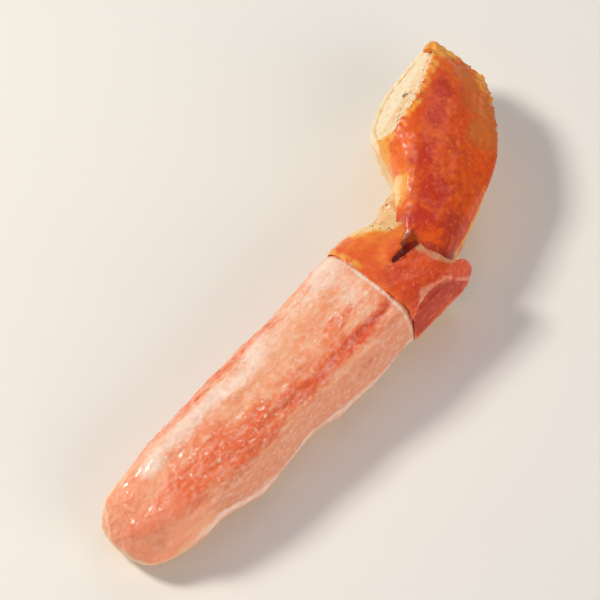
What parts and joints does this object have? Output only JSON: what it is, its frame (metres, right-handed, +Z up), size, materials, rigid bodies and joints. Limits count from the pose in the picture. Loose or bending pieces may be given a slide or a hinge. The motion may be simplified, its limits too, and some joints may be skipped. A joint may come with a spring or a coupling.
{
  "type": "snow crab claw arm",
  "caption": "Cooked snow crab claw arm with its long segment peeled to the meat, a band of orange shell at the joint and a bent wrist segment in its shell with a slanted open socket.",
  "frame": {"origin": "on the table under the middle of the whole piece", "axes": "+X along the arm from its free end to the wrist, the wrist bends towards +Y, +Z up out of the orange back of the shell"},
  "size_m": [0.1108, 0.0356, 0.0171],
  "materials": {
    "peeled_meat": "moist cooked meat, pink-orange streaks on pale fibres",
    "orange_shell": "moist cooked shell, orange to red on the back and cream below",
    "joint_skin": "soft moist cream skin with small wrinkles",
    "socket_meat": "moist pale cream meat with a few dark specks"
  },
  "bodies": {
    "root": {"arm_meat": "peeled_meat", "arm_shell_band": "orange_shell", "joint_skin": "joint_skin", "wrist_shell": "orange_shell", "wrist_meat": "socket_meat"}
  },
  "joints": []
}
